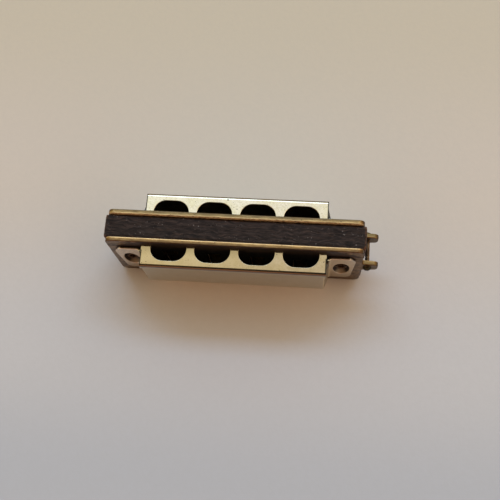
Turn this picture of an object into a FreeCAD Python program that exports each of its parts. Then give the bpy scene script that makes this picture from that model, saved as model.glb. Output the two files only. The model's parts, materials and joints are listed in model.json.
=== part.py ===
import FreeCAD, Part

import math
import os

# A miniature four-hole harmonica of the key-ring kind, standing on its mouthpiece.
# Millimetres. +X runs along the length, +Y from the blow side to the draw side, and
# +Z from the mouthpiece (z = 0) to the solid back. The origin is the middle of the
# mouthpiece face. Most shapes are drawn for the draw side (+Y) and mirrored for blow.

# Overall
COMB_LENGTH = 36.4
COMB_THICKNESS = 3.4
BODY_DEPTH = 13.4                    # mouthpiece face to the plates' back edges
COMB_BACK_STEP = 0.4                 # the worn wood sits this far below the plates
MOUTH_ROUNDING = 0.35

# Channels, one behind each hole
HOLE_COUNT = 4
HOLE_PITCH = 6.12
CHANNEL_WIDTH = 4.6
CHANNEL_DEPTH = 10.4

# Reed plates
PLATE_LENGTH = 35.7
PLATE_THICKNESS = 0.66
PLATE_FRONT = 0.4                    # the comb stands proud of the plates at the mouth
PLATE_FRONT_RADIUS = 1.0
PLATE_BACK_RADIUS = 0.85
PLATE_EDGE_ROUNDING = 0.12           # the sheared edges are worn round
LUG_TIP_X = 20.15
LUG_ROOT_HEIGHT = 2.7
LUG_TIP_HEIGHT = 2.0
LUG_TIP_RADIUS = 0.7
LUG_ROOT_RADIUS = 0.3
LUG_Z = 7.0
PIN_X = 18.65
PIN_DIAMETER = 0.62
PIN_HEAD_DIAMETER = 1.24
PIN_HEAD_HEIGHT = 0.5
RING_SCALLOP_RADIUS = 1.9            # room for a ring between the pin and the comb
RING_SCALLOP_X = 19.0

# Reeds: the tongue is hinged where it leaves its rivet pad
REED_LENGTHS = [7.4, 7.0, 6.6, 6.2]  # low note to high note
REED_WIDTH = 1.95
REED_THICKNESS = 0.14
REED_LIFT = 0.02                     # from the plate's face to the tongue
REED_SET_DEG = 0.8                   # the tip stands off its slot at rest
REED_ROOT_GAP = 0.02
SLOT_SIDE_CLEARANCE = 0.075
SLOT_TIP_CLEARANCE = 0.1
PAD_LENGTH = 1.8
PAD_THICKNESS = 0.2
BLOW_ROOT_Z = 2.6
DRAW_ROOT_Z = 9.7
REED_RIVET_SHANK = 0.7
REED_RIVET_HEAD = 1.2
REED_RIVET_HEAD_HEIGHT = 0.3

# Plate nails, two rows of three, over the walls between the channels
NAIL_SHANK = 0.5
NAIL_LENGTH = 1.9
NAIL_HEAD = 0.9
NAIL_HEAD_HEIGHT = 0.14
NAIL_ROWS_Z = [2.6, 10.9]

# Cover plates: one stamped sheet each
SHEET = 0.25
COVER_HEIGHT = 3.1                   # outside of the sheet above the reed plate
ROOF_HALF_LENGTH = 12.65
FOOT_HALF_LENGTH = 13.35             # the end walls lean out by the difference
ROOF_FRONT_Z = 6.2                   # where the flat roof starts to curve to the front
FRONT_FOOT_Z = 1.5
FRONT_PLAN_Z = 1.3
FRONT_CORNER_RADIUS = 1.8
END_WALL_BACK_Z = 11.2
ROOF_EDGE_RADIUS = 0.4
LIP_FRONT_Z = 0.9
LIP_HALF_LENGTH = 12.6
BACK_WALL_Z = 12.1
BACK_WALL_HALF_LENGTH = 12.84
BACK_BEND_RADIUS = 0.42
ARCH_WIDTH = 5.0
ARCH_HEIGHT = 2.08
ARCH_CORNER_RADIUS = 1.75
ARCH_EDGE_ROUNDING = 0.07
BLOW_ARCH_SHIFT = 0.17               # the blow cover's arches are punched a little towards the lug

# Cover tabs: the foot of each end wall, bent outwards, with a dished seat for the eyelet
TAB_LIFT = 0.2                       # from the reed plate to the underside of the tab
TAB_BACK_X = 16.9
TAB_FRONT_X = 16.4
TAB_FRONT_Z = 3.1
TAB_BACK_Z = 11.4
TAB_FRONT_RADIUS = 1.1
TAB_BACK_CORNER = (0.7, 1.3)         # what the back corner loses in X and in Z
TAB_BACK_RADIUS = 0.6
TAB_EDGE_ROUNDING = 0.08
EAR_HEIGHT = 1.3                     # how far the bent strip climbs the end wall
EAR_TOP_RADIUS = 0.6
EAR_BEND_RADIUS = 0.6                # on the outside of the cover
EYELET_X = 15.0
EYELET_Z = 7.1
DISH_RIM = (1.17, 2.35)              # half width and half height of the oval
DISH_FLOOR = (0.98, 1.95)
DISH_WALL = 0.12
DISH_DEPTH = 0.55
DISH_RIM_ROUNDING = 0.1
SEAT_CLEARANCE = 0.02                # between the dish and the seat pressed into the plate
EYELET_DIAMETER = 1.4
EYELET_BORE = 1.0
EYELET_RIM_RADIUS = 0.12

# Worked out from the above
COMB_FACE = COMB_THICKNESS / 2
PLATE_FACE = COMB_FACE + PLATE_THICKNESS
ROOF_FACE = PLATE_FACE + COVER_HEIGHT
TAB_UNDERSIDE = PLATE_FACE + TAB_LIFT
TAB_FACE = TAB_UNDERSIDE + SHEET
DISH_FLOOR_FACE = TAB_FACE - DISH_DEPTH
LIP_FACE = PLATE_FACE + SHEET
HOLE_XS = [(i - (HOLE_COUNT - 1) / 2) * HOLE_PITCH for i in range(HOLE_COUNT)]
WALL_XS = [(a + b) / 2 for a, b in zip(HOLE_XS, HOLE_XS[1:])]
BEYOND = 1.0                         # how far a cutting solid runs past what it cuts

DRAW = 1
BLOW = -1


def vec(x, y, z):
    return FreeCAD.Vector(x, y, z)


def block(x_range, y_range, z_range):
    """A box between two limits on each axis."""
    low = vec(x_range[0], y_range[0], z_range[0])
    size = [r[1] - r[0] for r in (x_range, y_range, z_range)]
    return Part.makeBox(size[0], size[1], size[2], low)


def rod(x, z, diameter, y_start, y_end):
    """A cylinder along Y."""
    return Part.makeCylinder(diameter / 2, y_end - y_start, vec(x, y_start, z), vec(0, 1, 0))


def dome(x, z, diameter, height, y_base):
    """A shallow spherical cap whose flat side is at y_base and which swells towards +Y."""
    radius = (diameter * diameter / 4 + height * height) / (2 * height)
    ball = Part.makeSphere(radius, vec(x, y_base + height - radius, z))
    keep = rod(x, z, diameter, y_base, y_base + height + BEYOND)
    return ball.common(keep)


def on_side(shape, side):
    """The shape as drawn for the draw side, or its mirror image for the blow side."""
    if side == DRAW:
        return shape
    return shape.mirror(vec(0, 0, 0), vec(0, 1, 0))


def corner_points(before, corner, after):
    """Start, middle and end of the arc that rounds one corner (u, w, radius)."""
    here = FreeCAD.Vector(corner[0], corner[1], 0)
    if corner[2] == 0:
        return here, here, here
    back = (FreeCAD.Vector(before[0], before[1], 0) - here).normalize()
    ahead = (FreeCAD.Vector(after[0], after[1], 0) - here).normalize()
    half = back.getAngle(ahead) / 2
    reach = corner[2] / math.tan(half)
    centre = here + (back + ahead).normalize() * (corner[2] / math.sin(half))
    middle = centre + (here - centre).normalize() * corner[2]
    return here + back * reach, middle, here + ahead * reach


def rounded_wire(corners, place):
    """A closed wire through corners (u, w, radius); place turns (u, w) into a point."""
    turns = []
    for i, corner in enumerate(corners):
        turns.append(corner_points(corners[i - 1], corner, corners[(i + 1) % len(corners)]))
    edges = []
    for i, (start, middle, end) in enumerate(turns):
        last = turns[i - 1][2]
        if last.distanceToPoint(start) > 1e-6:
            edges.append(Part.LineSegment(place(last.x, last.y), place(start.x, start.y)).toShape())
        if corners[i][2] > 0:
            points = [place(p.x, p.y) for p in (start, middle, end)]
            edges.append(Part.Arc(points[0], points[1], points[2]).toShape())
    return Part.Wire(edges)


def sheet_from(corners, y_start, y_end):
    """A flat plate: an outline in X and Z, made thick along Y."""
    wire = rounded_wire(corners, lambda x, z: vec(x, y_start, z))
    return Part.Face(wire).extrude(vec(0, y_end - y_start, 0))


def ellipse_wire(x, y, z, half_width, half_height):
    """An oval in the XZ plane, taller than it is wide."""
    upright = Part.Ellipse(
        vec(x, y, z + half_height), vec(x + half_width, y, z), vec(x, y, z))
    return Part.Wire(upright.toShape())


def oval_frustum(x, z, near, far, y_near, y_far):
    """A solid between two ovals, each given as (half width, half height)."""
    first = ellipse_wire(x, y_near, z, near[0], near[1])
    second = ellipse_wire(x, y_far, z, far[0], far[1])
    return Part.makeLoft([first, second], True, True)


# ---------------------------------------------------------------- comb

def nail_places():
    return [(x, z) for z in NAIL_ROWS_Z for x in WALL_XS]


def make_comb():
    """The wooden core: a spine along the back with a channel behind each hole."""
    half = COMB_LENGTH / 2
    depth = BODY_DEPTH - COMB_BACK_STEP
    comb = block((-half, half), (-COMB_FACE, COMB_FACE), (0, depth))
    mouth_edges = [e for e in comb.Edges if e.BoundBox.ZMax < 1e-6 and e.BoundBox.XLength > half]
    comb = comb.makeFillet(MOUTH_ROUNDING, mouth_edges)
    through = (-COMB_FACE - BEYOND, COMB_FACE + BEYOND)
    for x in HOLE_XS:
        span = (x - CHANNEL_WIDTH / 2, x + CHANNEL_WIDTH / 2)
        comb = comb.cut(block(span, through, (-BEYOND, CHANNEL_DEPTH)))
    comb = comb.cut(rod(RING_SCALLOP_X, LUG_Z, 2 * RING_SCALLOP_RADIUS, through[0], through[1]))
    for x in (-EYELET_X, EYELET_X):
        comb = comb.cut(rod(x, EYELET_Z, EYELET_DIAMETER, through[0], through[1]))
    for side in (BLOW, DRAW):
        for x, z in nail_places():
            comb = comb.cut(on_side(nail_shank(x, z), side))
    return comb


# ---------------------------------------------------------------- reed plates

def plate_outline():
    """The brass plate seen flat, with the key-ring lug at its right end."""
    half = PLATE_LENGTH / 2
    return [
        (-half, PLATE_FRONT, PLATE_FRONT_RADIUS),
        (half, PLATE_FRONT, PLATE_FRONT_RADIUS),
        (half, LUG_Z - LUG_ROOT_HEIGHT / 2, LUG_ROOT_RADIUS),
        (LUG_TIP_X, LUG_Z - LUG_TIP_HEIGHT / 2, LUG_TIP_RADIUS),
        (LUG_TIP_X, LUG_Z + LUG_TIP_HEIGHT / 2, LUG_TIP_RADIUS),
        (half, LUG_Z + LUG_ROOT_HEIGHT / 2, LUG_ROOT_RADIUS),
        (half, BODY_DEPTH, PLATE_BACK_RADIUS),
        (-half, BODY_DEPTH, PLATE_BACK_RADIUS),
    ]


def root_z(side):
    return DRAW_ROOT_Z if side == DRAW else BLOW_ROOT_Z


def tongue_direction(side):
    """Draw tongues run from the root to the mouth, blow tongues to the back."""
    return -1 if side == DRAW else 1


def pad_centre_z(side):
    return root_z(side) - tongue_direction(side) * PAD_LENGTH / 2


def worn_plate():
    """The blank plate, with the rims of both its faces rounded."""
    plate = sheet_from(plate_outline(), COMB_FACE, PLATE_FACE)
    rims = [e for e in plate.Edges if e.BoundBox.YLength < 1e-6]
    return plate.makeFillet(PLATE_EDGE_ROUNDING, rims)


def make_reed_plate(side):
    plate = worn_plate()
    through = (COMB_FACE - BEYOND, PLATE_FACE + BEYOND)
    half_slot = REED_WIDTH / 2 + SLOT_SIDE_CLEARANCE
    for x, length in zip(HOLE_XS, REED_LENGTHS):
        tip = root_z(side) + tongue_direction(side) * (length + SLOT_TIP_CLEARANCE)
        span = sorted((root_z(side), tip))
        plate = plate.cut(block((x - half_slot, x + half_slot), through, span))
        plate = plate.cut(rod(x, pad_centre_z(side), REED_RIVET_SHANK, through[0], through[1]))
    for x, z in nail_places():
        plate = plate.cut(rod(x, z, NAIL_SHANK, through[0], through[1]))
    for x in (-EYELET_X, EYELET_X):
        plate = plate.cut(rod(x, EYELET_Z, EYELET_DIAMETER, through[0], through[1]))
        plate = plate.cut(dish_outside(x, SEAT_CLEARANCE))
    plate = plate.cut(rod(PIN_X, LUG_Z, PIN_DIAMETER, through[0], through[1]))
    return on_side(plate, side)


# ---------------------------------------------------------------- reeds

def reed_face(side):
    """Where the reeds lie, measured outwards: outside the draw plate, inside the blow one."""
    return PLATE_FACE if side == DRAW else COMB_FACE


def away(side):
    """The way from the plate's face to the reed, measured outwards."""
    return 1 if side == DRAW else -1


def layer(side, near, far):
    """A range in Y between two heights above the face that carries the reeds."""
    return sorted((reed_face(side) + away(side) * near, reed_face(side) + away(side) * far))


def make_reed(side, x, length):
    """One tongue, set so that its tip stands off the slot."""
    way = tongue_direction(side)
    start = root_z(side) + way * REED_ROOT_GAP
    span = sorted((start, root_z(side) + way * length))
    heights = layer(side, REED_LIFT, REED_LIFT + REED_THICKNESS)
    tongue = block((x - REED_WIDTH / 2, x + REED_WIDTH / 2), heights, span)
    pivot = vec(x, sum(heights) / 2, root_z(side))
    tongue.rotate(pivot, vec(1, 0, 0), -way * away(side) * REED_SET_DEG)
    return on_side(tongue, side)


def make_reed_pads(side):
    """The four thick riveted ends, one for each tongue."""
    pads = []
    way = tongue_direction(side)
    span = sorted((root_z(side), root_z(side) - way * PAD_LENGTH))
    heights = layer(side, 0, PAD_THICKNESS)
    for x in HOLE_XS:
        pad = block((x - REED_WIDTH / 2, x + REED_WIDTH / 2), heights, span)
        shank = rod(x, pad_centre_z(side), REED_RIVET_SHANK, heights[0] - BEYOND, heights[1] + BEYOND)
        pads.append(on_side(pad.cut(shank), side))
    return Part.makeCompound(pads)


def make_reed_rivets(side):
    """A domed head on the pad, and a shank that ends flush with the plate's other face."""
    rivets = []
    z = pad_centre_z(side)
    plate_end = COMB_FACE if side == DRAW else PLATE_FACE
    seat = reed_face(side) + away(side) * PAD_THICKNESS
    shank_span = sorted((plate_end, seat))
    for x in HOLE_XS:
        shank = rod(x, z, REED_RIVET_SHANK, shank_span[0], shank_span[1])
        head = dome(x, z, REED_RIVET_HEAD, REED_RIVET_HEAD_HEIGHT, seat)
        if side == BLOW:
            head = head.mirror(vec(0, seat, 0), vec(0, 1, 0))
        rivets.append(on_side(shank.fuse(head).removeSplitter(), side))
    return Part.makeCompound(rivets)


# ---------------------------------------------------------------- nails, eyelets, pin

def nail_shank(x, z):
    return rod(x, z, NAIL_SHANK, PLATE_FACE - NAIL_LENGTH, PLATE_FACE)


def make_plate_nails(side):
    nails = []
    for x, z in nail_places():
        head = dome(x, z, NAIL_HEAD, NAIL_HEAD_HEIGHT, PLATE_FACE)
        nails.append(on_side(nail_shank(x, z).fuse(head).removeSplitter(), side))
    return Part.makeCompound(nails)


def make_eyelet(x):
    """A hollow rivet from one cover tab to the other, rolled over at both ends."""
    rim_centre = DISH_FLOOR_FACE + EYELET_RIM_RADIUS
    eyelet = rod(x, EYELET_Z, EYELET_DIAMETER, -rim_centre, rim_centre)
    for y in (-rim_centre, rim_centre):
        ring_radius = EYELET_DIAMETER / 2 + EYELET_RIM_RADIUS / 4
        rim = Part.makeTorus(ring_radius, EYELET_RIM_RADIUS, vec(x, y, EYELET_Z), vec(0, 1, 0))
        eyelet = eyelet.fuse(rim)
    bore = rod(x, EYELET_Z, EYELET_BORE, -rim_centre - BEYOND, rim_centre + BEYOND)
    return eyelet.cut(bore)


def make_ring_pin():
    """The bar between the two lugs that holds a key ring, peened over at both ends."""
    pin = rod(PIN_X, LUG_Z, PIN_DIAMETER, -PLATE_FACE, PLATE_FACE)
    for side in (BLOW, DRAW):
        head = dome(PIN_X, LUG_Z, PIN_HEAD_DIAMETER, PIN_HEAD_HEIGHT, PLATE_FACE)
        pin = pin.fuse(on_side(head, side))
    return pin.removeSplitter()


# ---------------------------------------------------------------- covers

def roof_section(inset, skirt):
    """The cover's end view without its back wall: a flat roof that curves to its front foot."""
    run = ROOF_FRONT_Z - FRONT_FOOT_Z
    radius = (run * run + COVER_HEIGHT * COVER_HEIGHT) / (2 * COVER_HEIGHT)
    centre_y = ROOF_FACE - radius
    radius = radius - inset
    foot_z = ROOF_FRONT_Z - math.sqrt(radius ** 2 - (PLATE_FACE - centre_y) ** 2)
    half_turn = math.acos((PLATE_FACE - centre_y) / radius) / 2
    middle = vec(0, centre_y + radius * math.cos(half_turn), ROOF_FRONT_Z - radius * math.sin(half_turn))
    top = ROOF_FACE - inset
    low = PLATE_FACE - skirt
    back_z = END_WALL_BACK_Z + skirt
    edges = [
        Part.LineSegment(vec(0, low, back_z), vec(0, top, back_z)).toShape(),
        Part.LineSegment(vec(0, top, back_z), vec(0, top, ROOF_FRONT_Z)).toShape(),
        Part.Arc(vec(0, top, ROOF_FRONT_Z), middle, vec(0, PLATE_FACE, foot_z)).toShape(),
    ]
    if skirt > 0:
        edges.append(Part.LineSegment(vec(0, PLATE_FACE, foot_z), vec(0, low, foot_z)).toShape())
    edges.append(Part.LineSegment(vec(0, low, foot_z), vec(0, low, back_z)).toShape())
    section = Part.Face(Part.Wire(edges))
    section.translate(vec(-COMB_LENGTH / 2, 0, 0))
    return section.extrude(vec(COMB_LENGTH, 0, 0))


def plan_wire(y, half_length, inset):
    """The cover seen flat: square at the back, round-cornered at the front."""
    half = half_length - inset
    front = FRONT_PLAN_Z + inset
    back = BODY_DEPTH
    radius = FRONT_CORNER_RADIUS - inset
    corners = [(-half, front, radius), (half, front, radius), (half, back, 0), (-half, back, 0)]
    return rounded_wire(corners, lambda x, z: vec(x, y, z))


def cover_block(inset, skirt):
    """A solid of the cover's outside (inset 0) or of the space inside its sheet."""
    lean = (FOOT_HALF_LENGTH - ROOF_HALF_LENGTH) / COVER_HEIGHT
    low = PLATE_FACE - BEYOND
    low_half = FOOT_HALF_LENGTH + lean * BEYOND
    plan = Part.makeLoft(
        [plan_wire(low, low_half, inset), plan_wire(ROOF_FACE, ROOF_HALF_LENGTH, inset)], True, True)
    solid = roof_section(inset, skirt).common(plan)
    top = ROOF_FACE - inset
    ridge = [e for e in solid.Edges if is_roof_end_edge(e, top)]
    return solid.makeFillet(ROOF_EDGE_RADIUS - inset, ridge)


def is_roof_end_edge(edge, top):
    """True for the straight edges between the roof and an end wall."""
    box = edge.BoundBox
    straight = box.XLength < 1e-3 and box.YLength < 1e-3
    return straight and abs(box.YMax - top) < 1e-3 and box.ZLength > BEYOND


def arch_places(side):
    """Where the middles of the arches are along the cover."""
    shift = BLOW_ARCH_SHIFT if side == BLOW else 0
    return [x + shift for x in HOLE_XS]


def back_wall(arch_xs):
    """The strip that turns down from the roof at the back, cut into one arch per hole."""
    inner_radius = BACK_BEND_RADIUS - SHEET
    bend_z = BACK_WALL_Z - BACK_BEND_RADIUS
    bend_y = ROOF_FACE - BACK_BEND_RADIUS
    outside = rounded_wire([
        (PLATE_FACE, END_WALL_BACK_Z, 0),
        (ROOF_FACE, END_WALL_BACK_Z, 0),
        (ROOF_FACE, BACK_WALL_Z, BACK_BEND_RADIUS),
        (PLATE_FACE, BACK_WALL_Z, 0),
    ], lambda y, z: vec(-BACK_WALL_HALF_LENGTH, y, z))
    inside = rounded_wire([
        (PLATE_FACE - BEYOND, END_WALL_BACK_Z - BEYOND, 0),
        (ROOF_FACE - SHEET, END_WALL_BACK_Z - BEYOND, 0),
        (bend_y + inner_radius, bend_z + inner_radius, inner_radius),
        (PLATE_FACE - BEYOND, BACK_WALL_Z - SHEET, 0),
    ], lambda y, z: vec(-BACK_WALL_HALF_LENGTH - BEYOND, y, z))
    width = 2 * BACK_WALL_HALF_LENGTH
    wall = Part.Face(outside).extrude(vec(width, 0, 0))
    wall = wall.cut(Part.Face(inside).extrude(vec(width + 2 * BEYOND, 0, 0)))
    for x in arch_xs:
        wall = wall.cut(arch_cutter(x))
    return wall.makeFillet(ARCH_EDGE_ROUNDING, [e for e in wall.Edges if is_arch_edge(e, arch_xs)])


def is_arch_edge(edge, arch_xs):
    """True for the edges of an arch on the outer face of the back wall."""
    box = edge.BoundBox
    on_face = box.ZLength < 1e-6 and abs(box.ZMax - BACK_WALL_Z) < 1e-6
    inside = any(abs(box.Center.x - x) < ARCH_WIDTH / 2 + 1e-6 for x in arch_xs)
    below_bend = box.YMax < PLATE_FACE + ARCH_HEIGHT + 1e-3
    return on_face and inside and below_bend


def arch_cutter(x):
    half = ARCH_WIDTH / 2
    low = PLATE_FACE - BEYOND
    high = PLATE_FACE + ARCH_HEIGHT
    start = BACK_WALL_Z - SHEET - BACK_BEND_RADIUS / 4
    wire = rounded_wire([
        (x - half, low, 0),
        (x + half, low, 0),
        (x + half, high, ARCH_CORNER_RADIUS),
        (x - half, high, ARCH_CORNER_RADIUS),
    ], lambda u, y: vec(u, y, start))
    return Part.Face(wire).extrude(vec(0, 0, BEYOND))


def front_lip():
    """The narrow flat edge that lies on the reed plate along the mouth."""
    corner = LIP_FRONT_Z
    inner_z = FRONT_FOOT_Z + SHEET
    corners = [
        (-LIP_HALF_LENGTH, LIP_FRONT_Z, corner / 2),
        (LIP_HALF_LENGTH, LIP_FRONT_Z, corner / 2),
        (LIP_HALF_LENGTH, inner_z, 0),
        (-LIP_HALF_LENGTH, inner_z, 0),
    ]
    return sheet_from(corners, PLATE_FACE, LIP_FACE)


def dish_outside(x, extra):
    """The outside of a tab's dish: the solid that presses its seat into the reed plate."""
    wall = DISH_WALL + extra
    rim = (DISH_RIM[0] + wall, DISH_RIM[1] + wall)
    floor = (DISH_FLOOR[0] + wall, DISH_FLOOR[1] + wall)
    floor_back = DISH_FLOOR_FACE - DISH_WALL - extra
    return oval_frustum(x, EYELET_Z, floor, rim, floor_back, TAB_FACE - TAB_EDGE_ROUNDING)


def wall_x(height):
    """The outside of the right end wall, at a height above the reed plate."""
    return FOOT_HALF_LENGTH - (FOOT_HALF_LENGTH - ROOF_HALF_LENGTH) * height / COVER_HEIGHT


def bar_from(corners, z_start, z_end):
    """A bar along Z from an outline in X and Y."""
    wire = rounded_wire(corners, lambda x, y: vec(x, y, z_start))
    return Part.Face(wire).extrude(vec(0, 0, z_end - z_start))


def ear_underside():
    """The inside of the bent strip, from the tab's end to the top of the ear."""
    return [
        (TAB_BACK_X, TAB_UNDERSIDE, 0),
        (wall_x(TAB_LIFT) - SHEET, TAB_UNDERSIDE, EAR_BEND_RADIUS + SHEET),
        (wall_x(EAR_HEIGHT) - SHEET, PLATE_FACE + EAR_HEIGHT, 0),
    ]


def bent_strip():
    """Tab, bend and ear in one strip, before the corners of the tab are cut."""
    outside = [
        (wall_x(EAR_HEIGHT), PLATE_FACE + EAR_HEIGHT, 0),
        (wall_x(TAB_LIFT + SHEET), TAB_FACE, EAR_BEND_RADIUS),
        (TAB_BACK_X, TAB_FACE, 0),
    ]
    strip = bar_from(ear_underside() + outside, TAB_FRONT_Z, TAB_BACK_Z)
    top = [e for e in strip.Edges
           if e.BoundBox.YMin > TAB_FACE + EAR_BEND_RADIUS and e.BoundBox.ZMin > TAB_BACK_Z - 1e-6
           and e.BoundBox.YLength < 1e-6]
    return strip.makeFillet(EAR_TOP_RADIUS, top)


def below_bend():
    """What the end wall's foot loses where it is bent outwards."""
    inner_x = wall_x(EAR_HEIGHT) - BEYOND
    space = ear_underside() + [
        (inner_x, PLATE_FACE + EAR_HEIGHT, 0),
        (inner_x, PLATE_FACE - BEYOND, 0),
        (TAB_BACK_X, PLATE_FACE - BEYOND, 0),
    ]
    return bar_from(space, TAB_FRONT_Z, BODY_DEPTH)


def tab_outline():
    """The tab seen flat, running inwards as far as the roof."""
    slope_x, slope_z = TAB_BACK_CORNER
    return [
        (ROOF_HALF_LENGTH - BEYOND, TAB_FRONT_Z, 0),
        (TAB_FRONT_X, TAB_FRONT_Z, TAB_FRONT_RADIUS),
        (TAB_BACK_X, TAB_BACK_Z - slope_z, TAB_BACK_RADIUS),
        (TAB_BACK_X - slope_x, TAB_BACK_Z, TAB_BACK_RADIUS),
        (ROOF_HALF_LENGTH - BEYOND, TAB_BACK_Z, 0),
    ]


def right_tab():
    """The ear and tab at one end of a cover, pressed into the plate in an oval dish."""
    tab = bent_strip().common(sheet_from(tab_outline(), PLATE_FACE, ROOF_FACE))
    tab = tab.makeFillet(TAB_EDGE_ROUNDING, [e for e in tab.Edges if is_tab_rim(e)])
    hollow = oval_frustum(EYELET_X, EYELET_Z, DISH_FLOOR, DISH_RIM, DISH_FLOOR_FACE, TAB_FACE)
    tab = tab.fuse(dish_outside(EYELET_X, 0)).cut(hollow)
    tab = tab.makeFillet(DISH_RIM_ROUNDING, [e for e in tab.Edges if is_dish_rim(e)])
    return tab.cut(rod(EYELET_X, EYELET_Z, EYELET_DIAMETER, PLATE_FACE - BEYOND, TAB_FACE + BEYOND))


def on_tab_face(edge):
    box = edge.BoundBox
    return box.YLength < 1e-6 and abs(box.YMax - TAB_FACE) < 1e-6


def is_tab_rim(edge):
    """True for the outline of the tab's outer face, beyond the bend."""
    return on_tab_face(edge) and edge.BoundBox.XMax > EYELET_X


def is_dish_rim(edge):
    """True for the oval edge where the dish meets the tab's outer face."""
    inside = edge.BoundBox.ZMax < EYELET_Z + DISH_RIM[1] + 1e-3
    return on_tab_face(edge) and inside and edge.BoundBox.ZMin > EYELET_Z - DISH_RIM[1] - 1e-3


def make_cover(side):
    """Roof, curved front, end walls, arched back wall, lip and tabs, all in one sheet."""
    shell = cover_block(0, 0).cut(cover_block(SHEET, BEYOND))
    opening = below_bend()
    tab = right_tab()
    for feature in (opening, opening.mirror(vec(0, 0, 0), vec(1, 0, 0))):
        shell = shell.cut(feature)
    left_tab = tab.mirror(vec(0, 0, 0), vec(1, 0, 0))
    cover = shell.fuse([back_wall(arch_places(side)), front_lip(), tab, left_tab])
    return on_side(cover.removeSplitter(), side)


# ---------------------------------------------------------------- assembly

def all_parts():
    parts = {"comb": make_comb(), "ring_pin": make_ring_pin()}
    parts["eyelet_left"] = make_eyelet(-EYELET_X)
    parts["eyelet_right"] = make_eyelet(EYELET_X)
    for name, side in (("blow", BLOW), ("draw", DRAW)):
        parts["reed_plate_" + name] = make_reed_plate(side)
        parts["cover_" + name] = make_cover(side)
        parts[name + "_reed_pads"] = make_reed_pads(side)
        parts[name + "_reed_rivets"] = make_reed_rivets(side)
        parts[name + "_plate_nails"] = make_plate_nails(side)
        for i, (x, length) in enumerate(zip(HOLE_XS, REED_LENGTHS)):
            parts["%s_reed_%d" % (name, i + 1)] = make_reed(side, x, length)
    return parts


def main():
    os.makedirs("parts", exist_ok=True)
    for name, shape in sorted(all_parts().items()):
        box = shape.BoundBox
        print("%-18s solids %d valid %s  X %.2f..%.2f  Y %.2f..%.2f  Z %.2f..%.2f  %.2f mm3" % (
            name, len(shape.Solids), shape.isValid(), box.XMin, box.XMax,
            box.YMin, box.YMax, box.ZMin, box.ZMax, shape.Volume))
        shape.exportStep("parts/%s.step" % name)


main()
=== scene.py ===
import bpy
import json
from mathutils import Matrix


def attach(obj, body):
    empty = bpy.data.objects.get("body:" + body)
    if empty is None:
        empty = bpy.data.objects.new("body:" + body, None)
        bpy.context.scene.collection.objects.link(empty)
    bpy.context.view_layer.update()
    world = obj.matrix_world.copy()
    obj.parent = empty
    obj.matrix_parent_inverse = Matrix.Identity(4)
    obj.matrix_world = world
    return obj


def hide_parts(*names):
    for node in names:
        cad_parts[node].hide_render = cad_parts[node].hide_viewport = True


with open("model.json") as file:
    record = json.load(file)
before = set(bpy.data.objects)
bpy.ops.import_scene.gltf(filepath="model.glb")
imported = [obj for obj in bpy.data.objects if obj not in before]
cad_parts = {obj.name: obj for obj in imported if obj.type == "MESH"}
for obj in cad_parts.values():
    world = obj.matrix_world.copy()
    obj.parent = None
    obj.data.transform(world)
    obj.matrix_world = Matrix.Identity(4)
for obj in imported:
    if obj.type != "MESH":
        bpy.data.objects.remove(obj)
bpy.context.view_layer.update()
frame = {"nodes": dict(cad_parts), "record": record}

import json
import math

import bmesh
import bpy
from mathutils import Vector, noise

MM = 0.001
BODY = "harmonica_body"


# ---------------------------------------------------------------- material nodes

class Nodes:
    """Makes and links shader nodes in one tree."""

    def __init__(self, tree):
        self.tree = tree

    def node(self, kind, inputs, **settings):
        made = self.tree.nodes.new(kind)
        for key, value in settings.items():
            setattr(made, key, value)
        for key, value in inputs.items():
            self.feed(value, made.inputs[key])
        return made

    def feed(self, value, socket):
        if isinstance(value, bpy.types.NodeSocket):
            self.tree.links.new(value, socket)
        else:
            socket.default_value = value

    def split(self, vector):
        return self.node("ShaderNodeSeparateXYZ", {0: vector}).outputs

    def math(self, operation, a, b=0.0):
        return self.node("ShaderNodeMath", {0: a, 1: b}, operation=operation).outputs[0]

    def add(self, a, b):
        return self.math("ADD", a, b)

    def times(self, a, b):
        return self.math("MULTIPLY", a, b)

    def larger(self, a, b):
        return self.math("MAXIMUM", a, b)

    def vector(self, operation, a, b):
        return self.node("ShaderNodeVectorMath", {0: a, 1: b}, operation=operation).outputs[0]

    def scaled(self, vector, amount):
        made = self.node("ShaderNodeVectorMath", {0: vector, "Scale": amount}, operation="SCALE")
        return made.outputs[0]

    def size_of(self, value):
        return self.math("ABSOLUTE", value)

    def ramp(self, value, low, high, start=0.0, end=1.0):
        """A smooth step: start below low, end above high."""
        return self.slope(value, low, high, start, end, "SMOOTHSTEP")

    def slope(self, value, low, high, start=0.0, end=1.0, kind="LINEAR"):
        made = self.node("ShaderNodeMapRange", {0: value, 1: low, 2: high, 3: start, 4: end},
                         interpolation_type=kind)
        return made.outputs[0]

    def mix(self, share, a, b):
        made = self.node("ShaderNodeMix", {}, data_type="RGBA")
        self.feed(share, made.inputs[0])
        for value, socket in ((a, made.inputs[6]), (b, made.inputs[7])):
            self.feed(value if isinstance(value, bpy.types.NodeSocket) else (*value, 1.0), socket)
        return made.outputs[2]


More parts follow.
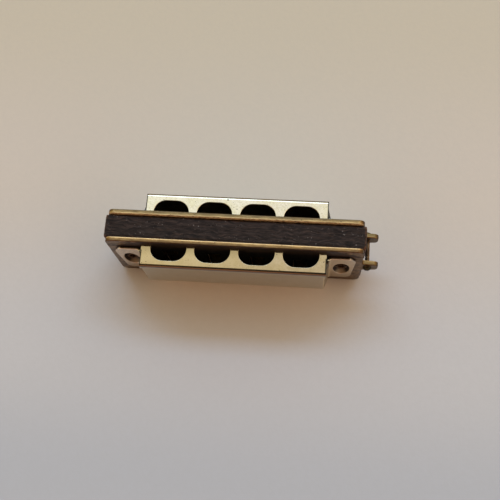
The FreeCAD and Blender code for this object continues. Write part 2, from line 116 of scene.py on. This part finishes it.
class Surface(Nodes):
    """A procedural material in the making. Lengths are millimetres in the CAD's own frame."""

    def __init__(self, name):
        self.material = bpy.data.materials.new(name)
        self.material.use_nodes = True
        super().__init__(self.material.node_tree)
        self.shader = self.tree.nodes["Principled BSDF"]
        coords = self.tree.nodes.new("ShaderNodeTexCoord")
        self.place = self.scaled(coords.outputs["Object"], 1 / MM)
        self.x, self.y, self.z = self.split(self.place)
        self.normal_x, self.normal_y, self.normal_z = self.split(coords.outputs["Normal"])

    def stretched(self, stretch, shift, place=None):
        """The place, divided by a grain size along each axis and shifted."""
        factors = [1 / s for s in stretch]
        return self.vector("ADD", self.vector("MULTIPLY", place or self.place, factors), shift)

    def noise(self, grain, seed=0.0, detail=3.0, rough=0.55, place=None):
        """Noise from 0 to 1 with grains of this many millimetres, one number or one for each axis."""
        sizes = grain if isinstance(grain, tuple) else (grain, grain, grain)
        made = self.node("ShaderNodeTexNoise", {
            "Vector": self.stretched(sizes, (seed, seed * 1.7, seed * 0.6), place),
            "Scale": 1.0, "Detail": detail, "Roughness": rough})
        return made.outputs[0]

    def cells(self, grain, seed=0.0):
        """The distance to the nearest of scattered points, in grains."""
        place = self.stretched((grain, grain, grain), (seed, seed * 1.3, seed * 0.7))
        return self.node("ShaderNodeTexVoronoi", {"Vector": place, "Scale": 1.0}).outputs["Distance"]

    def specks(self, grain, share, seed=0.0):
        """Small round spots: 1 inside a spot. A larger share leaves fewer cells empty."""
        spot = self.ramp(self.cells(grain, seed), 0.12, 0.24, 1.0, 0.0)
        chosen = self.ramp(self.noise(grain * 2.3, seed + 5.0, 1.0), 0.68 - share, 0.72 - share)
        return self.times(spot, chosen)

    def crevice(self, reach, low=0.25, high=0.8):
        """1 where neighbouring surfaces within reach hide a point, 0 in the open."""
        made = self.node("ShaderNodeAmbientOcclusion", {"Distance": reach * MM}, samples=6)
        return self.ramp(made.outputs["AO"], low, high, 1.0, 0.0)

    def bump(self, *layers, lean=None):
        """Relief from (height from 0 to 1, depth in millimetres) pairs, leant by a vector."""
        normal = None
        for height, depth in layers:
            inputs = {"Height": height, "Distance": depth * MM, "Strength": 1.0}
            if normal is not None:
                inputs["Normal"] = normal
            normal = self.node("ShaderNodeBump", inputs).outputs[0]
        if lean is not None:
            leant = self.vector("ADD", normal, lean)
            normal = self.node("ShaderNodeVectorMath", {0: leant}, operation="NORMALIZE").outputs[0]
        self.feed(normal, self.shader.inputs["Normal"])

    def finish(self, colour, metallic, roughness):
        self.feed(colour, self.shader.inputs["Base Color"])
        self.feed(metallic, self.shader.inputs["Metallic"])
        self.feed(roughness, self.shader.inputs["Roughness"])
        return self.material


# ---------------------------------------------------------------- finishes

# Places for the masks below, in the CAD's millimetres. First the soft borders along X, each
# with the two values that its ramp runs between.
LUG_START = (17.7, 18.3)
TAB_START = (13.25, 13.7)
BACK_WALL_END = (12.66, 12.74)
COVERED_END = (13.0, 12.75)
TAB_BACK_Z = 11.35
COMB_BACK_Z = 13.0
EYELET_X = 15.0
EYELET_Z = 7.1
DISH_HALF_SIZE = (1.2, 2.4)          # along X and Z
NEAR_WALL_LEAN = -0.09               # added to the normal's Y, so only the shading leans
DEEP_INSIDE = (4.0, 0.3, 0.62)       # for crevice: reach, low and high

BRASS_BRIGHT = (0.38, 0.215, 0.075)
BRASS_AGED = (0.20, 0.108, 0.040)
BRASS_DARK = (0.060, 0.036, 0.020)
# The darkest colour, for painted shade deep inside the covers and for grime.
SHADE_AND_GRIME = (0.016, 0.012, 0.013)


def aged_brass(s, face, patches, streaks):
    """A reed plate's metal: faces tarnished brown; painted highlight and shade on the edges, painted
    shade on the far plate, the +X faces and the lug's sides.
    """
    across = s.size_of(s.y)
    lug = s.ramp(s.x, *LUG_START)
    colour = s.mix(patches, BRASS_AGED, BRASS_BRIGHT)
    colour = s.mix(s.ramp(streaks, 0.42, 0.62, 0.35, 0.0), colour, BRASS_DARK)
    # Painted highlight: a bright line along the edges beside the comb.
    comb_side_highlight = s.times(s.ramp(across, 1.98, 1.78), s.ramp(streaks, 0.3, 0.5, 0.5, 1.0))
    colour = s.mix(s.times(comb_side_highlight, 0.62), colour, (0.95, 0.60, 0.27))
    # Painted shade: the edges darker towards the outer face.
    colour = s.mix(s.ramp(across, 1.95, 2.34, 0.0, 0.8), colour, BRASS_DARK)
    # Painted shade: the far plate darker.
    colour = s.mix(s.ramp(s.y, 0.0, 1.5, 0.0, 0.25), colour, (0.16, 0.14, 0.07))
    tarnished = s.mix(s.ramp(s.noise(0.9, 3.0, 5.0, 0.7), 0.35, 0.65), BRASS_DARK, (0.24, 0.155, 0.09))
    colour = s.mix(s.times(face, s.ramp(lug, 0.0, 1.0, 0.95, 0.45)), colour, tarnished)
    colour = s.mix(s.times(lug, 0.75), colour, (0.155, 0.108, 0.044))
    # Painted shade: faces towards +X darker, hiding the glint of the room's light.
    colour = s.mix(s.ramp(s.normal_x, 0.15, 0.6, 0.0, 0.8), colour, BRASS_DARK)
    # Painted shade: the lug's sides darker than its top.
    colour = s.mix(s.times(lug, s.ramp(s.normal_z, 0.7, 0.3, 0.0, 0.6)), colour, BRASS_DARK)
    return s.mix(s.times(s.specks(0.42, 0.12, 4.0), 0.85), colour, BRASS_DARK)


def dark_wedge_behind_tabs(s):
    """1 in a dark ragged wedge on a plate behind the cover's tabs, thinner towards the ends."""
    behind = s.add(s.z, -TAB_BACK_Z)
    from_middle = s.size_of(s.add(s.x, -0.5))
    reach = s.slope(from_middle, 13.2, 17.1, 2.2, 0.1)
    ragged = s.add(reach, s.times(s.add(s.noise(0.6, 5.0, 5.0, 0.65), -0.5), 1.6))
    return s.times(s.ramp(s.math("SUBTRACT", behind, ragged), 0.25, -0.25), s.ramp(behind, -0.3, 0.0))


def dried_crust(s):
    """The crust on the strip of a plate's inner face above the comb, paler on the far plate."""
    crust = s.ramp(s.noise((0.5, 0.15, 0.15), 8.0, 4.0), 0.4, 0.6)
    crust = s.times(crust, s.ramp(s.y, -1.0, 1.0, 0.15, 1.0))
    return s.mix(crust, (0.14, 0.09, 0.055), (0.46, 0.38, 0.22))


def plate_brass():
    s = Surface("plate_brass")
    face = s.ramp(s.size_of(s.normal_y), 0.45, 0.9)
    patches = s.ramp(s.noise((2.6, 1.0, 1.0), 1.0, 5.0, 0.65), 0.36, 0.64)
    streaks = s.noise((1.6, 0.09, 0.16), 2.0, 3.0)
    colour = aged_brass(s, face, patches, streaks)

    # Painted shade and dirt: darker in the seams, deep inside the cover, under its ends and in the wedge
    # behind the tabs.
    seam = s.crevice(0.9, 0.3, 0.85)
    inside = s.times(face, s.crevice(*DEEP_INSIDE))
    # Painted shade: the plate's face under the covers' ends near black.
    covered = s.times(s.ramp(s.size_of(s.x), *COVERED_END), s.ramp(s.z, 13.22, COMB_BACK_Z))
    covered = s.times(covered, face)
    dark_behind_tabs_and_under_cover = s.larger(s.times(dark_wedge_behind_tabs(s), face), covered)
    shade_and_dirt = s.larger(s.times(seam, 0.85), s.times(inside, 0.97))
    shade_and_dirt = s.larger(shade_and_dirt, s.times(dark_behind_tabs_and_under_cover, 0.96))

    towards_comb = s.times(s.normal_y, s.math("SIGN", s.y))
    fringe = s.times(s.ramp(s.z, 12.85, COMB_BACK_Z), s.ramp(towards_comb, -0.2, -0.5))
    shade_and_dirt = s.times(shade_and_dirt, s.ramp(fringe, 0.0, 1.0, 1.0, 0.1))
    # Paint the shade and dirt; the painted shade under the covers' ends is near black.
    colour = s.mix(shade_and_dirt, colour, s.mix(covered, SHADE_AND_GRIME, (0.005, 0.004, 0.005)))
    colour = s.mix(fringe, colour, dried_crust(s))

    s.bump((s.noise(3.5, 6.0, 2.0), 0.05), (streaks, 0.012), (s.noise(0.14, 7.0, 4.0, 0.7), 0.008))
    rough = s.add(s.ramp(patches, 0.0, 1.0, 0.38, 0.28), s.times(s.larger(shade_and_dirt, fringe), 0.3))
    metal = s.times(s.ramp(shade_and_dirt, 0.2, 1.0, 1.0, 0.25), s.ramp(fringe, 0.0, 1.0, 1.0, 0.1))
    return s.finish(colour, metal, rough)


def aged_nickel(s, clouds):
    """The plating of a cover: clouded and pitted, with a yellower painted reflection and painted shade
    on the near side.
    """
    colour = s.mix(s.ramp(clouds, 0.36, 0.66), (0.90, 0.87, 0.78), (0.80, 0.74, 0.55))
    mottle = s.ramp(s.noise(0.3, 12.0, 4.0, 0.7), 0.4, 0.7, 0.0, 0.4)
    colour = s.mix(mottle, colour, (0.55, 0.50, 0.34))
    # Painted reflection: the near cover yellower, less so towards +X.
    near_warm_reflection = s.times(s.ramp(s.y, -1.0, -2.0), s.ramp(s.x, -6.0, 9.0, 0.75, 0.45))
    colour = s.mix(near_warm_reflection, colour, (0.80, 0.69, 0.42))
    shaded = s.times(s.ramp(s.y, -3.9, -2.6), s.ramp(s.y, 0.0, -1.0))
    shaded = s.times(shaded, s.ramp(s.x, 2.0, 11.0, 0.8, 0.1))
    colour = s.mix(shaded, colour, (0.58, 0.51, 0.32))
    pits = s.larger(s.specks(0.3, 0.1, 13.0), s.specks(0.75, 0.06, 14.0))
    return s.mix(s.times(pits, 0.8), colour, (0.09, 0.07, 0.05))


def painted_bend_shade(s, colour):
    """Painted shade: darkens the outer faces and paints a dark reflection on their bend to the back
    wall; dims the far cover's bends.
    """
    across = s.size_of(s.y)
    # Painted reflection: the outer faces darker, like the shadowed floor they face.
    outer = s.times(s.ramp(s.size_of(s.normal_y), 0.5, 0.9), s.ramp(across, 5.2, 5.4))
    colour = s.mix(s.times(outer, 0.85), colour, (0.44, 0.40, 0.34))
    # Painted reflection: a dark line on the bend between the outer face and the back wall.
    fold = s.times(s.ramp(s.size_of(s.normal_y), 0.2, 0.4), s.ramp(s.normal_z, 0.1, 0.4))
    fold = s.times(fold, s.ramp(across, 4.9, 5.05))
    colour = s.mix(s.times(fold, 0.88), colour, (0.085, 0.078, 0.085))
    # Painted shade dimming the key's highlight on the far cover's bends.
    far_bend = s.times(s.ramp(s.normal_y, 0.04, 0.12), s.ramp(s.normal_y, 0.6, 0.4))
    return s.mix(s.times(far_bend, 0.8), colour, (0.42, 0.33, 0.20))


def end_shade(s):
    """1 where painted shade darkens the ends of the covers' back walls, less towards the mouthpiece."""
    along = s.size_of(s.x)
    across = s.size_of(s.y)
    walls = s.times(s.ramp(across, 2.95, 3.1), s.ramp(across, 5.3, 5.15))
    walls = s.times(walls, s.ramp(s.size_of(s.normal_y), 0.9, 0.7))
    far_side = s.times(s.ramp(s.y, 0.0, 1.0), s.ramp(along, 14.1, 13.8))
    at_end = s.times(s.ramp(along, *BACK_WALL_END), s.ramp(s.z, 9.0, 10.5, 0.55, 1.0))
    return s.times(at_end, s.larger(walls, far_side))


def dull_shaded_nickel(s):
    """The duller plating of the tabs, in painted shade towards the lug, darker towards the mouthpiece.
    """
    smears = s.ramp(s.noise(0.5, 15.0, 4.0, 0.65), 0.35, 0.7)
    dull = s.mix(smears, (0.80, 0.71, 0.62), (0.60, 0.52, 0.44))
    # Painted shade: the tab on the lug's side darker, like the shadowed floor it faces.
    dull = s.mix(s.ramp(s.x, -5.0, 5.0, 0.0, 0.45), dull, (0.50, 0.44, 0.35))
    return s.mix(s.ramp(s.z, 8.0, 3.5, 0.0, 0.6), dull, (0.22, 0.18, 0.14))


def cover_nickel():
    s = Surface("cover_nickel")
    clouds = s.noise(1.6, 11.0, 4.0, 0.6)
    colour = painted_bend_shade(s, aged_nickel(s, clouds))
    # Painted shade at the ends of the back walls.
    colour = s.mix(s.times(end_shade(s), 0.93), colour, (0.04, 0.034, 0.028))
    tab = s.times(s.ramp(s.size_of(s.x), *TAB_START), s.ramp(s.size_of(s.y), 3.35, 3.1))
    colour = s.mix(s.times(tab, 0.9), colour, dull_shaded_nickel(s))

    # Painted shade and dirt: dark inside the cover and in fine creases.
    shade_and_dirt = s.larger(s.crevice(3.0, 0.12, 0.42), s.times(s.crevice(0.35, 0.15, 0.6), 0.7))
    colour = s.mix(shade_and_dirt, colour, (0.030, 0.025, 0.030))
    dish = dish_mask(s)
    # Painted light: the dish paler at its low end, as lit from above; the rest dark with dirt and
    # painted shade.
    dish_dirt_and_painted_light = s.mix(s.ramp(s.z, 5.0, 5.7), (0.22, 0.20, 0.15), (0.02, 0.016, 0.014))
    colour = s.mix(dish, colour, dish_dirt_and_painted_light)

    near_back_wall = s.times(s.ramp(s.y, -2.0, -2.3), s.ramp(s.z, 11.7, 11.9))
    lean = s.node("ShaderNodeCombineXYZ", {1: s.times(near_back_wall, NEAR_WALL_LEAN)}).outputs[0]
    s.bump((s.noise(4.5, 16.0, 2.0), 0.03), (s.noise((0.9, 0.9, 0.12), 17.0, 3.0), 0.0015),
           (s.noise(0.11, 18.0, 4.0, 0.7), 0.0012), lean=lean)
    bends = s.ramp(s.size_of(s.normal_z), 0.995, 0.95, 0.0, 0.2)
    rough = s.add(s.ramp(clouds, 0.3, 0.7, 0.08, 0.14), s.add(bends, s.times(shade_and_dirt, 0.3)))
    rough = s.add(rough, s.times(dish, 0.42))
    return s.finish(colour, s.ramp(s.larger(shade_and_dirt, dish), 0.3, 1.0, 1.0, 0.4), rough)


def dish_mask(s):
    """1 inside the oval dishes of the tabs."""
    across = s.math("DIVIDE", s.add(s.size_of(s.x), -EYELET_X), DISH_HALF_SIZE[0])
    along = s.math("DIVIDE", s.add(s.z, -EYELET_Z), DISH_HALF_SIZE[1])
    radius = s.math("SQRT", s.add(s.times(across, across), s.times(along, along)))
    below_face = s.ramp(s.size_of(s.y), 2.79, 2.7)
    return s.times(s.ramp(radius, 1.02, 0.96), below_face)


def comb_wood():
    s = Surface("comb_wood")
    wear = s.node("ShaderNodeAttribute", {}, attribute_name="wear").outputs["Fac"]
    waver = s.times(s.add(s.noise(2.2, 20.0, 2.0), -0.5), 1.4)
    bent = s.node("ShaderNodeCombineXYZ", {0: s.x, 1: s.add(s.y, waver), 2: s.z}).outputs[0]
    grain = s.noise((1.7, 0.22, 0.3), 21.0, 5.0, 0.68, bent)
    pores = s.ramp(s.noise((0.8, 0.07, 0.1), 22.0, 3.0, 0.6, bent), 0.58, 0.72)
    blotches = s.ramp(s.noise((1.3, 0.6, 0.6), 23.0, 4.0, 0.65), 0.4, 0.66)
    colour = s.mix(s.ramp(grain, 0.38, 0.72), (0.0070, 0.0038, 0.0031), (0.052, 0.031, 0.023))
    colour = s.mix(s.times(blotches, 0.6), colour, (0.024, 0.015, 0.012))
    colour = s.mix(s.times(pores, 0.8), colour, (0.004, 0.003, 0.003))
    bare = s.mix(grain, (0.040, 0.018, 0.011), (0.13, 0.065, 0.037))
    fibres = s.add(s.noise((0.7, 0.2, 0.2), 24.0, 4.0), -0.5)
    frayed = s.ramp(s.add(wear, s.times(fibres, 1.1)), 0.42, 0.8)
    colour = s.mix(frayed, colour, bare)
    dust = s.larger(s.times(s.specks(0.5, 0.1, 25.0), 0.8), s.specks(0.21, 0.09, 26.0))
    colour = s.mix(s.times(dust, 0.45), colour, (0.30, 0.27, 0.26))
    s.bump((grain, 0.03), (pores, -0.03), (s.noise(0.13, 27.0, 4.0, 0.7), 0.03))
    s.shader.inputs["Specular IOR Level"].default_value = 0.16
    return s.finish(colour, 0.0, s.ramp(grain, 0.3, 0.7, 0.66, 0.48))


def reed_brass():
    s = Surface("reed_brass")
    filed = s.noise((0.035, 0.5, 1.8), 31.0, 3.0)
    colour = s.mix(s.ramp(filed, 0.35, 0.65), (0.36, 0.235, 0.11), (0.62, 0.44, 0.21))
    stains = s.ramp(s.noise(0.8, 32.0, 4.0, 0.7), 0.5, 0.75, 0.0, 0.6)
    colour = s.mix(stains, colour, (0.13, 0.08, 0.045))
    # Painted shade: dark deep inside the cover.
    colour = s.mix(s.crevice(*DEEP_INSIDE), colour, SHADE_AND_GRIME)
    s.bump((filed, 0.006), (s.noise(0.09, 33.0, 3.0), 0.003))
    return s.finish(colour, 1.0, s.ramp(filed, 0.3, 0.7, 0.42, 0.28))


def rivet_brass():
    s = Surface("rivet_brass")
    marks = s.noise(0.16, 41.0, 4.0, 0.65)
    colour = s.mix(s.ramp(marks, 0.35, 0.65), (0.36, 0.26, 0.14), (0.70, 0.56, 0.34))
    colour = s.mix(s.crevice(0.3, 0.25, 0.8), colour, BRASS_DARK)
    # Painted shade: dark deep inside the cover.
    colour = s.mix(s.times(s.crevice(*DEEP_INSIDE), 0.8), colour, SHADE_AND_GRIME)
    s.bump((marks, 0.02))
    return s.finish(colour, 1.0, s.ramp(marks, 0.3, 0.7, 0.38, 0.22))


def nail_steel():
    s = Surface("nail_steel")
    marks = s.noise(0.13, 51.0, 4.0, 0.7)
    colour = s.mix(s.ramp(marks, 0.4, 0.65), (0.20, 0.18, 0.165), (0.48, 0.46, 0.43))
    colour = s.mix(s.ramp(s.noise(0.4, 52.0, 3.0), 0.52, 0.66, 0.0, 0.8), colour, (0.13, 0.06, 0.03))
    s.bump((marks, 0.02))
    return s.finish(colour, 0.9, s.ramp(marks, 0.3, 0.7, 0.55, 0.36))


def eyelet_brass():
    s = Surface("eyelet_brass")
    marks = s.noise(0.22, 61.0, 4.0, 0.7)
    colour = s.mix(s.ramp(marks, 0.4, 0.7), (0.028, 0.020, 0.014), (0.15, 0.085, 0.045))
    # Dirt and painted shade in the eyelet's hollow.
    colour = s.mix(s.crevice(0.8, 0.2, 0.7), colour, SHADE_AND_GRIME)
    s.bump((marks, 0.02))
    return s.finish(colour, 0.85, s.ramp(marks, 0.3, 0.7, 0.6, 0.4))


def pin_bronze():
    s = Surface("pin_bronze")
    patina = s.noise(0.35, 71.0, 4.0, 0.65)
    head = s.ramp(s.size_of(s.y), 2.25, 2.5)
    bar = s.mix(s.ramp(patina, 0.35, 0.65), (0.05, 0.028, 0.014), (0.15, 0.09, 0.045))
    cap = s.mix(s.ramp(patina, 0.4, 0.7), (0.015, 0.015, 0.009), (0.06, 0.055, 0.032))
    s.bump((patina, 0.03), (s.noise(0.08, 72.0, 3.0), 0.006))
    return s.finish(s.mix(head, bar, cap), 0.85, s.ramp(patina, 0.3, 0.7, 0.6, 0.4))


# ---------------------------------------------------------------- the worn comb

COMB_HALF_LENGTH = 18.2
COMB_HALF_THICKNESS = 1.7
VOXEL = 0.15
WEAR_REACH = 0.5                     # how far from an edge or corner the comb is worn
CORNER_LOSS = 0.16


def remeshed_comb():
    """A fine even mesh of the CAD comb, in millimetres."""
    copy = frame["nodes"]["comb"].data.copy()
    form = bmesh.new()
    form.from_mesh(copy)
    bmesh.ops.scale(form, vec=(1 / MM, 1 / MM, 1 / MM), verts=form.verts)
    bmesh.ops.remove_doubles(form, verts=form.verts, dist=1e-4)
    form.to_mesh(copy)
    form.free()
    rough_cut = bpy.data.objects.new("comb_worn", copy)
    bpy.context.scene.collection.objects.link(rough_cut)
    remesh = rough_cut.modifiers.new("voxels", "REMESH")
    remesh.mode = "VOXEL"
    remesh.voxel_size = VOXEL
    depsgraph = bpy.context.evaluated_depsgraph_get()
    fine = bpy.data.meshes.new_from_object(rough_cut.evaluated_get(depsgraph))
    bpy.data.objects.remove(rough_cut)
    return fine


def chip_depth(x, side):
    """How much of a long back edge is gone at this place, in millimetres."""
    slow = noise.noise(Vector((x * 0.45, side * 7.0, 3.1)))
    quick = noise.noise(Vector((x * 2.3, side * 11.0, 8.4)))
    sharp = noise.noise(Vector((x * 6.5, side * 5.0, 1.7)))
    return 0.03 + 0.10 * max(0.0, slow) + 0.22 * max(0.0, quick - 0.1) + 0.10 * max(0.0, sharp)


def worn_place(place):
    """Where a point of the fresh comb is on the worn one, and how worn it is there."""
    x, y, z = place
    side = 1 if y > 0 else -1
    from_side = max(0.0, COMB_HALF_THICKNESS - abs(y))
    from_back = max(0.0, COMB_BACK_Z - z)
    from_end = max(0.0, COMB_HALF_LENGTH - abs(x))
    to_edge = math.hypot(from_side, from_back)
    share = max(0.0, 1 - to_edge / WEAR_REACH)
    loss = chip_depth(x, side) * share ** 1.5
    y -= side * loss
    z -= loss * 0.8
    to_corner = math.hypot(from_end, min(from_back, from_side))
    corner = max(0.0, 1 - to_corner / WEAR_REACH)
    x -= math.copysign(CORNER_LOSS * corner ** 1.5, x)
    grain = noise.fractal(Vector((x * 0.35, y * 4.5, z * 3.0)), 0.9, 2.1, 3)
    if from_back < 0.4:
        z -= 0.035 + 0.03 * grain
    elif from_end < 0.4:
        x -= math.copysign(0.015 + 0.012 * grain, x)
    wear = min(1.0, share * (0.55 + 2.2 * chip_depth(x, side)) + 0.7 * corner)
    return Vector((x, y, z)), wear


def make_worn_comb():
    mesh = remeshed_comb()
    wear = mesh.attributes.new("wear", "FLOAT", "POINT")
    for vertex, amount in zip(mesh.vertices, wear.data):
        vertex.co, amount.value = worn_place(vertex.co)
        vertex.co *= MM
    for polygon in mesh.polygons:
        polygon.use_smooth = True
    mesh.materials.clear()
    mesh.materials.append(comb_wood())
    comb = bpy.data.objects.new("comb_worn", mesh)
    bpy.context.scene.collection.objects.link(comb)
    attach(comb, BODY)
    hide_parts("comb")


# ---------------------------------------------------------------- the CAD's own pieces

def dress_nodes():
    """Gives each CAD node that stays in view the finish of its slot in the record."""
    finishes = {"plate_brass": plate_brass(), "cover_nickel": cover_nickel(), "reed_brass": reed_brass(),
                "rivet_brass": rivet_brass(), "nail_steel": nail_steel(), "eyelet_brass": eyelet_brass(),
                "pin_bronze": pin_bronze()}
    for part in frame["record"]["subparts"]:
        if part["material_slot"] in finishes:
            for slot in frame["nodes"][part["node"]].material_slots:
                slot.material = finishes[part["material_slot"]]


# ---------------------------------------------------------------- camera, floor and light

# Lengths in millimetres and angles in degrees, but for the floor's.
CAMERA_PLACE = (11.40, -36.16, 116.22)
CAMERA_TURN = (18.262, 3.62, 4.17)   # about X, Y and Z
CAMERA_LENS = 57.6
SENSOR_WIDTH = 36.0
KEY_TOWARDS = Vector((0, 0.54, 0.84))
KEY_DISTANCE = 600.0
KEY_HALF_ANGLES = (27.0, 5.5)
FLOOR_REACH = 3.0                    # metres, each way from the part


def make_camera():
    data = bpy.data.cameras.new("camera")
    data.sensor_width = SENSOR_WIDTH
    data.lens = CAMERA_LENS
    data.clip_start = 0.001
    data.clip_end = 20.0
    camera = bpy.data.objects.new("camera", data)
    camera.location = Vector(CAMERA_PLACE) * MM
    camera.rotation_euler = [math.radians(angle) for angle in CAMERA_TURN]
    bpy.context.scene.collection.objects.link(camera)
    bpy.context.scene.camera = camera


def make_key_light():
    towards = KEY_TOWARDS.normalized()
    data = bpy.data.lights.new("key", "AREA")
    data.shape = "RECTANGLE"
    data.size, data.size_y = [2 * KEY_DISTANCE * MM * math.tan(math.radians(angle))
                              for angle in KEY_HALF_ANGLES]
    data.energy = 1.6
    data.color = (0.44, 0.68, 1.0)
    light = bpy.data.objects.new("key", data)
    light.location = towards * KEY_DISTANCE * MM
    light.rotation_euler = (-towards).to_track_quat("-Z", "Y").to_euler()
    bpy.context.scene.collection.objects.link(light)


def make_floor():
    mesh = bpy.data.meshes.new("floor")
    corners = [(-1, -1), (1, -1), (1, 1), (-1, 1)]
    mesh.from_pydata([(x * FLOOR_REACH, y * FLOOR_REACH, 0) for x, y in corners], [], [(0, 1, 2, 3)])
    s = Surface("floor_paper")
    fibres = s.noise(0.7, 81.0, 4.0, 0.6)
    # Painted light: the floor warmer far away and cooler near, standing in for the room's light.
    colour = s.mix(s.ramp(s.y, -16.0, 14.0), (0.530, 0.541, 0.567), (0.580, 0.538, 0.487))
    colour = s.mix(s.ramp(s.y, -14.0, -34.0), colour, (0.445, 0.478, 0.535))
    colour = s.mix(s.ramp(s.y, 12.0, 46.0), colour, (0.543, 0.502, 0.411))
    colour = s.mix(s.ramp(fibres, 0.3, 0.7, 0.05, 0.0), colour, (0.3, 0.3, 0.3))
    s.bump((fibres, 0.02))
    s.shader.inputs["Specular IOR Level"].default_value = 0.25
    mesh.materials.append(s.finish(colour, 0.0, s.ramp(fibres, 0.3, 0.7, 0.7, 0.8)))
    floor = bpy.data.objects.new("floor", mesh)
    bpy.context.scene.collection.objects.link(floor)


# Light from the room: towards, radiance straight that way. It fades with the cosine.
ROOM_LOBES = (((1, 0, 0), (1.38, 1.28, 1.08)),
              ((-1, 0, 0), (0.46, 0.64, 0.60)),
              ((0, -1, 0), (1.02, 0.26, 0.06)))
ROOM_AMBIENT = (0.38, 0.20, 0.02)
WINDOW_GLOW = (0.52, 0.65, 0.72)
# Round patches in the sky, in degrees: elevation, azimuth, outer radius, inner radius.
WINDOW = (46, -3, 46, 26)
PHOTOGRAPHER = (58, 172, 42, 24)


def towards_sky(elevation, azimuth):
    """A direction, from degrees above the horizon and degrees from +Y to +X."""
    level = math.cos(math.radians(elevation))
    turn = math.radians(azimuth)
    return (math.sin(turn) * level, math.cos(turn) * level, math.sin(math.radians(elevation)))


def make_world():
    """A dim warm room with a cool window beyond the object and the dark shape of the photographer."""
    world = bpy.data.worlds.new("world")
    bpy.context.scene.world = world
    world.use_nodes = True
    sky = Nodes(world.node_tree)
    direction = sky.node("ShaderNodeTexCoord", {}).outputs["Generated"]

    def facing(towards):
        made = sky.node("ShaderNodeVectorMath", {0: direction, 1: towards}, operation="DOT_PRODUCT")
        return made.outputs["Value"]

    def patch(elevation, azimuth, outer, inner):
        edges = [math.cos(math.radians(angle)) for angle in (outer, inner)]
        return sky.ramp(facing(towards_sky(elevation, azimuth)), *edges)

    room = ROOM_AMBIENT
    for towards, radiance in ROOM_LOBES:
        lobe = sky.scaled(radiance, sky.larger(facing(towards), 0.0))
        room = sky.vector("ADD", room, lobe)
    not_hidden = sky.math("SUBTRACT", 1.0, patch(*PHOTOGRAPHER))
    glow = sky.scaled(WINDOW_GLOW, patch(*WINDOW))
    light = sky.vector("ADD", sky.scaled(room, not_hidden), glow)
    sky.feed(light, sky.tree.nodes["Background"].inputs["Color"])


make_camera()
make_key_light()
make_floor()
make_world()
bpy.context.scene.view_settings.view_transform = "Standard"
dress_nodes()
make_worn_comb()
